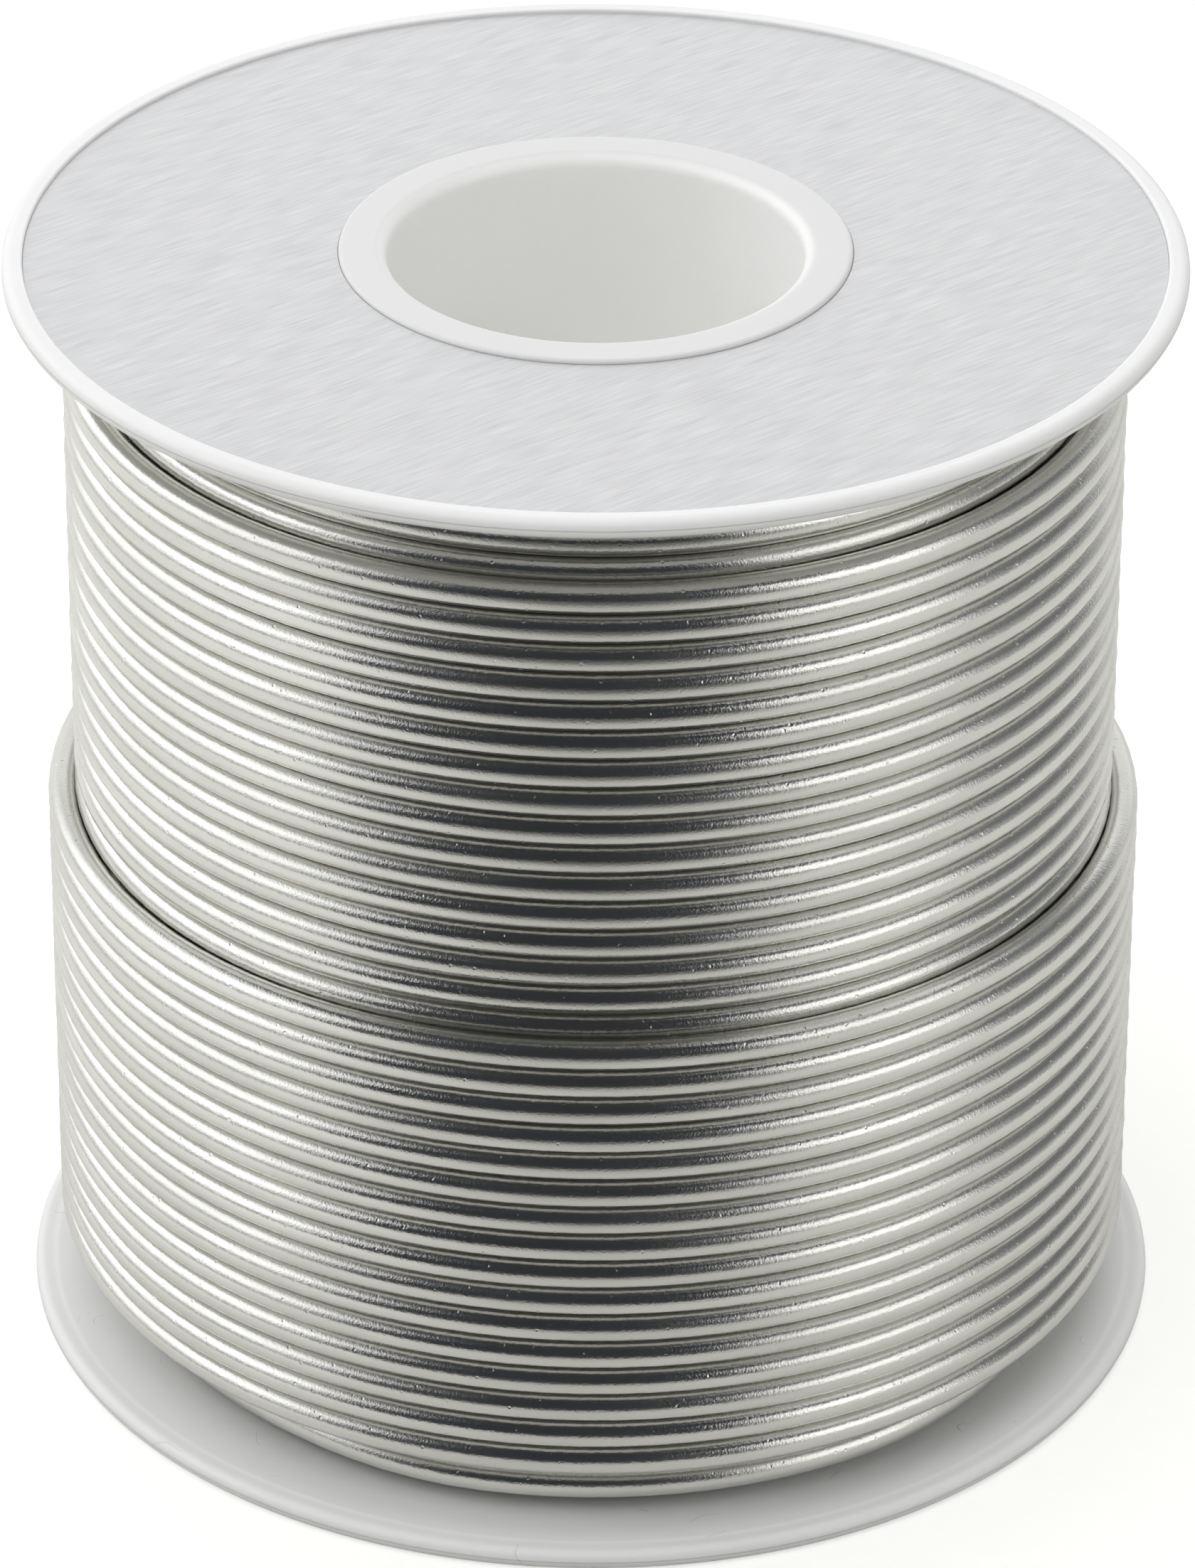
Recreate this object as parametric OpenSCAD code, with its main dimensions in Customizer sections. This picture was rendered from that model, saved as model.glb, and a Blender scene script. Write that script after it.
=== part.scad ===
// Solder wire spool: a moulded two-part spool with a stepped winding of close-laid wire.
// Millimetres. Z runs along the bore, and z = 0 is the face that the spool stands on.

/* [Spool] */
// Diameter of both flanges
flange_d = 56.2; // [55:0.1:64]
// Thickness of each flange at its rim
flange_t = 1.0; // [0.9:0.1:2]
// Clear width between the two flanges
winding_w = 54.7; // [40:0.1:70]
// Rounding of the flange edges
edge_r = 0.35; // [0.2:0.05:0.4]
// Diameter of the drum that the wire is wound on
drum_d = 40; // [38:0.5:41]
// Wall of the drum
drum_wall = 2.2; // [1.8:0.1:3]

/* [Spindle tube] */
// Diameter of the bore for a spindle
bore_d = 19.8; // [18:0.1:21]
// Outside diameter of the spindle tube
tube_d = 24.4; // [23.6:0.1:26]
// Rounding at the mouth of the bore
mouth_r = 0.6; // [0.3:0.1:0.8]
// Number of ribs between the tube and the drum
rib_count = 6; // [3:1:8]
// Thickness of each rib
rib_t = 1.4; // [1:0.1:2]

/* [Joint of the two halves] */
// Length of the lap where the halves slide together
lap_h = 4; // [2:0.5:8]
// Radial clearance in the lap
lap_clearance = 0.05; // [0.02:0.01:0.1]
// Clearance past the end of a lap or a rib
end_clearance = 0.4; // [0.1:0.1:1]

/* [Label] */
// Depth of the recess in the outer face of each flange
recess_h = 0.3; // [0.2:0.05:0.4]
// Width of the raised rim round the recess
rim_w = 1.0; // [0.8:0.1:2]
// Thickness of the foil label
label_t = 0.1; // [0.05:0.01:0.15]
// Gap between the label and the edges of its recess
label_gap = 0.05; // [0.02:0.01:0.3]

/* [Winding] */
// Diameter of the wire
wire_d = 1.5; // [1.2:0.05:1.6]
// Full layers that lie hidden under the first layer in view
hidden_layers = 3; // [2:1:3]
// Bare stretch between the upper flange and the first turn in view
top_bare = 4.2; // [3:0.1:8]
// Bare stretch between the lower flange and the last turn
bottom_bare = 1.0; // [0.9:0.1:4]
// Height of the top of the part-wound outer layer above the lower flange
outer_layer_h = 27.2; // [16:0.1:34]
// Clearance between the turns and what they lie on
lay_gap = 0.1; // [0.05:0.05:0.3]

/* [Wire start hole] */
// Diameter of the hole that holds the start of the wire
start_hole_d = 2.2; // [1.8:0.1:3]
// Distance from the drum to the edge of that hole
start_hole_inset = 0.3; // [0.1:0.1:1]

/* [Hidden] */
$fn = 96;

total_h = winding_w + 2 * flange_t;
seam_z = total_h / 2;
flange_r = flange_d / 2;
drum_r = drum_d / 2;
bore_r = bore_d / 2;
tube_r = tube_d / 2;
recess_r = flange_r - rim_w;
tube_lap_r = (bore_r + tube_r) / 2;
drum_lap_r = drum_r - drum_wall / 2;

// A wire in a full layer sits in the grooves of the layer below it.
wire_r = wire_d / 2;
layer_step = wire_d * sqrt(3) / 2;
function layer_r(layer) = drum_r + wire_r + (layer - 1) * layer_step;
upper_turn_r = layer_r(hidden_layers + 1);
outer_turn_r = layer_r(hidden_layers + 2);

// The tube that stands for the turns in view has fewer turns than the wire has.
turn_limit = 24;
rings_per_turn = 24;
tube_sides = 6;
least_turn_gap = 0.5;
first_turn_z = total_h - flange_t - top_bare - wire_r;
last_turn_z = flange_t + bottom_bare + wire_r;
turns_that_fit = 1 + floor((first_turn_z - last_turn_z) / (wire_d + least_turn_gap));
turns = min(turn_limit, turns_that_fit);
pitch = (first_turn_z - last_turn_z) / (turns - 1);
outer_top_z = flange_t + outer_layer_h - wire_r;
upper_turns = round((first_turn_z - outer_top_z) / pitch);
// The outer layer leaves the lowest turn of the layer under it in view.
lower_turns = 1;
// Part of a turn in which the wire steps from one layer to the next
layer_change = 0.3;
start_angle = 90;

// The core keeps clear of the straight chords between the rings of the tube.
chord = cos(180 / rings_per_turn);
core_under_upper_r = upper_turn_r * chord - wire_r - lay_gap;
core_under_outer_r = outer_turn_r * chord - wire_r - lay_gap;
core_step_z = turn_z(upper_turns - layer_change / 2) - wire_r - lay_gap;
core_foot_z = turn_z(turns - lower_turns + layer_change / 2) + wire_r + lay_gap;
top_band_z = turn_z(0) + wire_r + lay_gap;
top_band_r = layer_r(hidden_layers) + wire_r;

// ---- The moulded halves ----

// A ring's section, from one radius to another and from one height to another.
module band(r_in, r_out, z_low, z_high) {
    translate([r_in, z_low]) square([r_out - r_in, z_high - z_low]);
}

// Section of one flange, outer face at z = 0, with a rounded edge, a mouth and a label recess.
module flange_section() {
    difference() {
        union() {
            band(bore_r, flange_r - edge_r, 0, flange_t);
            band(bore_r, flange_r, edge_r, flange_t - edge_r);
            for (z = [edge_r, flange_t - edge_r])
                translate([flange_r - edge_r, z]) circle(edge_r);
        }
        difference() {
            translate([bore_r - 1, -1]) square([mouth_r + 1, mouth_r + 1]);
            translate([bore_r + mouth_r, mouth_r]) circle(mouth_r);
        }
        band(tube_r, recess_r, -1, recess_h);
    }
}

// Walls of the tube and the drum in a half whose lap is the sleeve outside the tube
// and the lip inside the drum.
module sleeve_half_section() {
    flange_section();
    band(bore_r, tube_r, mouth_r, seam_z);
    band(tube_lap_r, tube_r, seam_z - 1, seam_z + lap_h);
    band(drum_r - drum_wall, drum_r, recess_h, seam_z);
    band(drum_r - drum_wall, drum_lap_r - lap_clearance, seam_z - 1, seam_z + lap_h);
}

// Walls of the other half, which run inside that sleeve and outside that lip.
module plug_half_section() {
    wall_end = seam_z - lap_h - end_clearance;
    flange_section();
    band(bore_r, tube_r, mouth_r, wall_end);
    band(bore_r, tube_lap_r - lap_clearance, wall_end - 1, seam_z);
    band(drum_r - drum_wall, drum_r, recess_h, wall_end);
    band(drum_lap_r, drum_r, wall_end - 1, seam_z);
}

// Radial ribs that tie the tube to the drum, from the flange up to rib_end.
module ribs(rib_end) {
    root = 0.5;
    rib_length = drum_r - drum_wall - tube_r + 2 * root;
    for (i = [0 : rib_count - 1])
        rotate(i * 360 / rib_count)
            translate([tube_r - root, -rib_t / 2, recess_h + root])
                cube([rib_length, rib_t, rib_end - recess_h - root]);
}

module spool_lower_half() {
    color("whitesmoke")
        difference() {
            union() {
                rotate_extrude() sleeve_half_section();
                ribs(seam_z - end_clearance);
            }
            translate([0, drum_r + start_hole_inset + start_hole_d / 2, -1])
                cylinder(d = start_hole_d, h = flange_t + 2);
        }
}

module spool_upper_half() {
    color("whitesmoke")
        translate([0, 0, total_h])
            mirror([0, 0, 1]) {
                rotate_extrude() plug_half_section();
                ribs(seam_z - lap_h - end_clearance);
            }
}

// ---- The label ----

module face_label() {
    color("silver")
        translate([0, 0, total_h - recess_h])
            difference() {
                cylinder(r = recess_r - label_gap, h = label_t);
                translate([0, 0, -1]) cylinder(r = tube_r + label_gap, h = label_t + 2);
            }
}

// ---- The wire ----

// Height of the wire's centre after so many turns from its start at the back.
function turn_z(turn) = first_turn_z - pitch * (turn - 0.5);

// 0 before the start of a change, 1 after its end, and smooth between.
function ease(t) = t <= 0 ? 0 : t >= 1 ? 1 : t * t * (3 - 2 * t);

// 0 before a change of layer that is centred on a turn, 1 after it.
function changed(turn, at) = ease((turn - at) / layer_change + 0.5);

function turn_radius(turn) =
    upper_turn_r + (outer_turn_r - upper_turn_r)
        * (changed(turn, upper_turns) - changed(turn, turns - lower_turns));

function wire_point(turn) =
    let (angle = start_angle + 360 * turn, r = turn_radius(turn))
    [r * cos(angle), r * sin(angle), turn_z(turn)];

function unit(v) = v / norm(v);

// Direction of the wire at a turn, from two points close by.
function wire_direction(turn) =
    let (near = 0.001)
    unit(wire_point(turn + near) - wire_point(turn - near));

// Centre and direction of every ring, with a straight stretch of one diameter at each end.
route = [
    [wire_point(0) - wire_d * wire_direction(0), wire_direction(0)],
    for (i = [0 : turns * rings_per_turn])
        let (turn = i / rings_per_turn) [wire_point(turn), wire_direction(turn)],
    [wire_point(turns) + wire_d * wire_direction(turns), wire_direction(turns)]
];

function ring(stop) =
    let (
        centre = stop[0],
        along = stop[1],
        out = unit([centre.x, centre.y, 0]),
        side = unit(out - (out * along) * along),
        up = cross(along, side)
    )
    [for (k = [0 : tube_sides - 1])
        let (a = 360 * k / tube_sides) centre + wire_r * (cos(a) * side + sin(a) * up)];

function wall_faces(rings) = [
    for (i = [0 : rings - 2], k = [0 : tube_sides - 1])
        let (
            next = (k + 1) % tube_sides,
            a = i * tube_sides + k,
            b = i * tube_sides + next,
            c = a + tube_sides,
            d = b + tube_sides
        )
        each [[a, c, b], [b, c, d]]
];

function end_faces(rings) =
    let (last = (rings - 1) * tube_sides)
    [for (k = [1 : tube_sides - 2])
        each [[0, k, k + 1], [last, last + k + 1, last + k]]];

// Least distance between a ring's centre and those of the turns beside it, less the wire.
function least_gap() =
    let (half = rings_per_turn / 2, stops = len(route))
    min([for (i = [0 : stops - 1], j = [i + half : min(stops - 1, i + 3 * half)])
        norm(route[i][0] - route[j][0])]) - wire_d;

module wire_winding() {
    echo(least_gap_mm = least_gap(), turns = turns, pitch_mm = pitch);
    color("gainsboro")
        polyhedron(
            points = [for (stop = route) each ring(stop)],
            faces = concat(wall_faces(len(route)), end_faces(len(route)))
        );
}

module wire_inner_layers() {
    core_r = drum_r + lap_clearance;
    core_low = flange_t + lap_clearance;
    core_high = total_h - flange_t - lap_clearance;
    color("silver")
        rotate_extrude() {
            band(core_r, core_under_outer_r, core_foot_z, core_step_z);
            band(core_r, core_under_upper_r, core_low, core_high);
            band(core_r, top_band_r, top_band_z, core_high);
        }
}

spool_lower_half();
spool_upper_half();
face_label();
wire_inner_layers();
wire_winding();
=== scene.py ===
"""A solder wire spool: two moulded spool halves, a brushed foil label and one length of close-laid wire.

Lengths in the size fields are millimetres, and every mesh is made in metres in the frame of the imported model.
The bore runs along Z, the spool stands on z = 0, and the front faces -Y.
"""

from __future__ import annotations

import logging
import math
import sys
from dataclasses import dataclass, field
from enum import Enum
from typing import Callable, Iterable, Sequence

import bmesh
import bpy
import numpy as np
from mathutils import Matrix, Vector

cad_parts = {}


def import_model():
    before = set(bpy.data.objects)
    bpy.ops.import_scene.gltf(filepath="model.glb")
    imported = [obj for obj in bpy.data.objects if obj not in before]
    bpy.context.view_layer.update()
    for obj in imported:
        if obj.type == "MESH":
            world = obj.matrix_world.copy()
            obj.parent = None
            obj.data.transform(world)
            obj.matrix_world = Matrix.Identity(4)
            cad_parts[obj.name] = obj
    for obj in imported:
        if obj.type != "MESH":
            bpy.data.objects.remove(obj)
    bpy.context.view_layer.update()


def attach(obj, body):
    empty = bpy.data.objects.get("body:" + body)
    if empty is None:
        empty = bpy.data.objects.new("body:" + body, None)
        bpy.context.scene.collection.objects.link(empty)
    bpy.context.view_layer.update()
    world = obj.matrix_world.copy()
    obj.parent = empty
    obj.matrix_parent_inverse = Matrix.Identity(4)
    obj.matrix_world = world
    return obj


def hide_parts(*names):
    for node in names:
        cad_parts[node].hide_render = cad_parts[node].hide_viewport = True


LOG = logging.getLogger("solder_spool")
MM = 0.001
BODY = "root"


class SpoolEnd(Enum):
    """The two ends of the spool, each moulded as one half."""

    LOWER = "lower"
    UPPER = "upper"


class Slot(Enum):
    """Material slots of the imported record."""

    PLASTIC = "white_plastic"
    FOIL = "label_foil"
    WIRE = "solder_wire"


# ---- Small helpers for node trees and meshes ----


class Nodes:
    """A node tree with short calls for adding nodes and filling their inputs."""

    def __init__(self, tree: bpy.types.NodeTree) -> None:
        """Empties a tree to start from.

        Args:
            tree: The tree.
        """
        self.tree = tree
        self.tree.nodes.clear()

    def fill(self, made: bpy.types.Node, inputs: dict[str | int, object]) -> None:
        """Fills inputs of a node.

        Args:
            made: The node.
            inputs: What goes into its inputs: sockets or constants.
        """
        for key, value in inputs.items():
            if isinstance(value, bpy.types.NodeSocket):
                self.tree.links.new(value, made.inputs[key])
            else:
                made.inputs[key].default_value = value

    def node(
        self, kind: str, inputs: dict[str | int, object] | None = None, **values: object
    ) -> bpy.types.Node:
        """Adds a node and fills its inputs.

        Args:
            kind: Blender's name for the node's type.
            inputs: What goes into its inputs: sockets or constants.
            **values: Attributes to set on the node.

        Returns:
            The new node.
        """
        made = self.tree.nodes.new(kind)
        for key, value in values.items():
            setattr(made, key, value)
        self.fill(made, inputs or {})
        return made

    def maths(self, operation: str, first: object, second: object = 0.0) -> bpy.types.NodeSocket:
        """Adds a Math node.

        Args:
            operation: Blender's name for the operation.
            first: A socket or a number.
            second: A socket or a number.

        Returns:
            The node's output.
        """
        return self.node("ShaderNodeMath", {0: first, 1: second}, operation=operation).outputs[0]

    def vector(self, operation: str, inputs: dict[str | int, object]) -> bpy.types.Node:
        """Adds a Vector Math node.

        Args:
            operation: Blender's name for the operation.
            inputs: What goes into its inputs: sockets or constants.

        Returns:
            The new node.
        """
        return self.node("ShaderNodeVectorMath", inputs, operation=operation)


class Shading(Nodes):
    """The tree of a material or a world."""

    def noise(self, vector: bpy.types.NodeSocket, scale: float, detail: float = 2.0) -> bpy.types.NodeSocket:
        """Adds a noise texture.

        Args:
            vector: The coordinates.
            scale: Cells per unit of the coordinates.
            detail: Octaves of finer noise.

        Returns:
            The noise value, about 0.5 on average.
        """
        inputs = {"Vector": vector, "Scale": scale, "Detail": detail}
        return self.node("ShaderNodeTexNoise", inputs, noise_dimensions="3D").outputs["Fac"]

    def cells(self, vector: bpy.types.NodeSocket, scale: float) -> bpy.types.NodeSocket:
        """Adds scattered points.

        Args:
            vector: The coordinates.
            scale: Points per unit of the coordinates.

        Returns:
            The distance to the nearest point, in cells.
        """
        inputs = {"Vector": vector, "Scale": scale}
        return self.node("ShaderNodeTexVoronoi", inputs, feature="F1").outputs["Distance"]

    def remap(
        self,
        value: bpy.types.NodeSocket,
        low: float,
        high: float,
        to_low: float,
        to_high: float,
        kind: str = "LINEAR",
    ) -> bpy.types.NodeSocket:
        """Maps a range of values onto another and clamps it.

        Args:
            value: The socket to map.
            low: Start of the incoming range.
            high: End of the incoming range.
            to_low: Value at its start.
            to_high: Value at its end.
            kind: LINEAR, or SMOOTHSTEP to ease both ends.

        Returns:
            The mapped value.
        """
        inputs = {"Value": value, "From Min": low, "From Max": high, "To Min": to_low, "To Max": to_high}
        made = self.node("ShaderNodeMapRange", inputs, clamp=True, interpolation_type=kind)
        return made.outputs["Result"]

    def blend(
        self,
        factor: bpy.types.NodeSocket,
        first: Sequence[float] | bpy.types.NodeSocket,
        second: Sequence[float],
    ) -> bpy.types.NodeSocket:
        """Mixes two colours.

        Args:
            factor: 0 for the first colour, 1 for the second.
            first: Linear RGB, or the socket of a colour.
            second: Linear RGB.

        Returns:
            The mixed colour.
        """
        start = first if isinstance(first, bpy.types.NodeSocket) else (*first, 1.0)
        inputs = {"Factor": factor, "A": start, "B": (*second, 1.0)}
        return self.node("ShaderNodeMix", inputs, data_type="RGBA").outputs["Result"]

    def stretched(
        self, vector: bpy.types.NodeSocket, scale: Sequence[float], turn: float = 0.0
    ) -> bpy.types.NodeSocket:
        """Turns coordinates about Z and then stretches them.

        Args:
            vector: The coordinates.
            scale: Factors along the three turned axes.
            turn: Angle in degrees that the first axis is turned by.

        Returns:
            The new coordinates.
        """
        angle = (0.0, 0.0, math.radians(turn))
        turned = self.node("ShaderNodeMapping", {"Vector": vector, "Rotation": angle}, vector_type="TEXTURE")
        inputs = {"Vector": turned.outputs[0], "Scale": scale}
        return self.node("ShaderNodeMapping", inputs, vector_type="POINT").outputs[0]

    def bump(
        self,
        height: bpy.types.NodeSocket,
        distance: float,
        under: bpy.types.NodeSocket | None = None,
    ) -> bpy.types.NodeSocket:
        """Adds a bump.

        Args:
            height: The height, 0 to 1.
            distance: What a height of 1 stands for, in metres.
            under: Normal that this bump lies on.

        Returns:
            The bumped normal.
        """
        made = self.node("ShaderNodeBump", {"Height": height, "Distance": distance, "Strength": 1.0})
        if under is not None:
            self.fill(made, {"Normal": under})
        return made.outputs["Normal"]

    def background(self, colour: Sequence[float], strength: object = 1.0) -> bpy.types.NodeSocket:
        """Adds a world's background.

        Args:
            colour: Linear RGB.
            strength: Brightness as a socket or a number, where 1 is white.

        Returns:
            The background's output.
        """
        inputs = {"Color": (*colour, 1.0), "Strength": strength}
        return self.node("ShaderNodeBackground", inputs).outputs[0]

    def sum(self, first: bpy.types.NodeSocket, second: bpy.types.NodeSocket) -> bpy.types.NodeSocket:
        """Adds the light of two shaders.

        Args:
            first: A shader's output.
            second: A shader's output.

        Returns:
            The output of both.
        """
        return self.node("ShaderNodeAddShader", {0: first, 1: second}).outputs[0]


class Shader(Shading):
    """The tree of a new material."""

    def __init__(self, name: str) -> None:
        """Starts an empty material.

        Args:
            name: Name of the material.
        """
        self.material = bpy.data.materials.new(name)
        self.material.use_nodes = True
        super().__init__(self.material.node_tree)
        self.place = self.node("ShaderNodeTexCoord").outputs["Object"]

    def principled(self, **values: object) -> bpy.types.NodeSocket:
        """Adds the main shader.

        Args:
            **values: Sockets or constants for its inputs, with _ for a space in the name.

        Returns:
            The shader's output.
        """
        inputs = {key.replace("_", " "): value for key, value in values.items()}
        return self.node("ShaderNodeBsdfPrincipled", inputs).outputs["BSDF"]

    def finish(self, surface: bpy.types.NodeSocket) -> bpy.types.Material:
        """Ends the tree.

        Args:
            surface: The finished shader's output.

        Returns:
            The material.
        """
        self.node("ShaderNodeOutputMaterial", {"Surface": surface})
        return self.material


class MeshMaker:
    """Calls that turn points and sections into finished objects."""

    @staticmethod
    def link(name: str, data: bpy.types.ID) -> bpy.types.Object:
        """Puts new data in the scene.

        Args:
            name: Name of the object.
            data: Its mesh, lamp or camera.

        Returns:
            The object, at the origin.
        """
        made = bpy.data.objects.new(name, data)
        bpy.context.scene.collection.objects.link(made)
        return made

    @staticmethod
    def evaluated(made: bpy.types.Object) -> bpy.types.Mesh:
        """Runs an object's modifiers.

        Args:
            made: The object.

        Returns:
            The plain mesh that comes out.
        """
        bpy.context.view_layer.update()
        graph = bpy.context.evaluated_depsgraph_get()
        return bpy.data.meshes.new_from_object(made.evaluated_get(graph), depsgraph=graph)

    @staticmethod
    def place(
        name: str, mesh: bpy.types.Mesh, material: bpy.types.Material | None, sharp: float = 35.0
    ) -> bpy.types.Object:
        """Puts a mesh in the scene with smooth shading and sharp corners.

        Args:
            name: Name of the piece.
            mesh: Its mesh, in metres.
            material: Its material, or None where the mesh has one.
            sharp: Angle in degrees above which an edge is sharp.

        Returns:
            The object, at the origin.
        """
        mesh.name = name
        if material is not None:
            mesh.materials.clear()
            mesh.materials.append(material)
        mesh.shade_smooth()
        mesh.set_sharp_from_angle(angle=math.radians(sharp))
        return MeshMaker.link(name, mesh)

    @staticmethod
    def rounded(
        corners: Iterable[tuple[float, float, float]], steps: int = 5, hold: float = 0.05
    ) -> list[tuple[float, float]]:
        """Rounds the corners of a closed section and holds the flats beside them.

        Args:
            corners: Radius, height and rounding of each corner, in mm.
            steps: Straight pieces in each rounding.
            hold: Distance from a rounding to the support ring on the flat beside it, in mm.

        Returns:
            Points of the section.
        """
        given = [(Vector((r, z)), rounding) for r, z, rounding in corners]
        points: list[tuple[float, float]] = []
        for index, (corner, rounding) in enumerate(given):
            before = given[index - 1][0] - corner
            after = given[(index + 1) % len(given)][0] - corner
            if rounding <= 0.0:
                points.append(tuple(corner))
                continue
            back = before.normalized()
            ahead = after.normalized()
            half = back.angle(ahead) / 2.0
            reach = rounding / math.tan(half)
            centre = corner + (back + ahead).normalized() * (rounding / math.sin(half))
            start = corner + back * reach
            end = corner + ahead * reach
            if before.length > reach + 2.0 * hold:
                points.append(tuple(start + back * hold))
            first = start - centre
            sweep = first.angle_signed(end - centre)
            for step in range(steps + 1):
                angle = -sweep * step / steps
                spun = Matrix.Rotation(angle, 2) @ first
                points.append(tuple(centre + spun))
            if after.length > reach + 2.0 * hold:
                points.append(tuple(end + ahead * hold))
        return points

    @staticmethod
    def lathe(section: Sequence[tuple[float, float]], segments: int) -> bpy.types.Mesh:
        """Spins a closed section round Z.

        Args:
            section: Radius and height of its points, in mm.
            segments: Steps round the axis.

        Returns:
            A closed mesh with outward faces, in metres.
        """
        angles = np.arange(segments) * 2.0 * math.pi / segments
        radius = np.array([point[0] for point in section]) * MM
        height = np.array([point[1] for point in section]) * MM
        x = radius[None, :] * np.cos(angles)[:, None]
        y = radius[None, :] * np.sin(angles)[:, None]
        z = np.broadcast_to(height[None, :], x.shape)
        vertices = np.stack([x, y, z], axis=-1).reshape(-1, 3)
        count = len(section)
        faces = [
            (
                turn * count + step,
                ((turn + 1) % segments) * count + step,
                ((turn + 1) % segments) * count + (step + 1) % count,
                turn * count + (step + 1) % count,
            )
            for turn in range(segments)
            for step in range(count)
        ]
        mesh = bpy.data.meshes.new("section")
        mesh.from_pydata(vertices.tolist(), [], faces)
        MeshMaker.outward(mesh)
        return mesh

    @staticmethod
    def outward(mesh: bpy.types.Mesh) -> None:
        """Turns the faces of a closed mesh outwards.

        Args:
            mesh: The mesh to change.
        """
        work = bmesh.new()
        work.from_mesh(mesh)
        bmesh.ops.recalc_face_normals(work, faces=work.faces)
        if work.calc_volume(signed=True) < 0.0:
            bmesh.ops.reverse_faces(work, faces=work.faces)
        work.to_mesh(mesh)
        work.free()
        mesh.update()

    @staticmethod
    def joined(parts: Sequence[bpy.types.Mesh]) -> bpy.types.Mesh:
        """Puts several meshes into one.

        Args:
            parts: The meshes.

        Returns:
            One mesh that holds them all.
        """
        work = bmesh.new()
        for part in parts:
            work.from_mesh(part)
        mesh = bpy.data.meshes.new("joined")
        work.to_mesh(mesh)
        work.free()
        return mesh


class NodeBuilder(Nodes):
    """A Geometry Nodes tree with named inputs, and the modifier that runs it."""

    def __init__(self, name: str) -> None:
        """Starts a tree with a geometry input and output.

        Args:
            name: Name of the tree.
        """
        super().__init__(bpy.data.node_groups.new(name, "GeometryNodeTree"))
        self.tree.interface.new_socket("Geometry", in_out="INPUT", socket_type="NodeSocketGeometry")
        self.tree.interface.new_socket("Geometry", in_out="OUTPUT", socket_type="NodeSocketGeometry")
        self.source = self.tree.nodes.new("NodeGroupInput")
        self.result = self.tree.nodes.new("NodeGroupOutput")
        self.values: dict[str, object] = {}

    def size(self, name: str, kind: str, value: object) -> None:
        """Adds a named input.

        Args:
            name: Name of the input.
            kind: Float, Int, Vector or Material.
            value: The value that the modifier gives it.
        """
        made = self.tree.interface.new_socket(name, in_out="INPUT", socket_type=f"NodeSocket{kind}")
        self.values[made.identifier] = value

    def given(self, name: str) -> bpy.types.NodeSocket:
        """Finds the socket of a named input.

        Args:
            name: Name of the input.

        Returns:
            The socket.
        """
        return self.source.outputs[name]

    def close(self, geometry: bpy.types.NodeSocket) -> None:
        """Ends the tree with realized instances and the material.

        Args:
            geometry: The finished geometry.
        """
        real = self.node("GeometryNodeRealizeInstances", {"Geometry": geometry})
        dressed = self.node(
            "GeometryNodeSetMaterial", {"Geometry": real.outputs[0], "Material": self.given("Material")}
        )
        self.fill(self.result, {0: dressed.outputs[0]})

    def bake(self, base: bpy.types.Mesh) -> bpy.types.Mesh:
        """Runs the tree on a mesh.

        Args:
            base: The mesh that goes in.

        Returns:
            The plain mesh that comes out.
        """
        carrier = MeshMaker.link("carrier", base)
        modifier = carrier.modifiers.new("nodes", "NODES")
        modifier.node_group = self.tree
        for identifier, value in self.values.items():
            modifier[identifier] = value
        baked = MeshMaker.evaluated(carrier)
        carrier.modifiers.remove(modifier)
        bpy.data.objects.remove(carrier)
        return baked


# ---- Finishes ----


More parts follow.
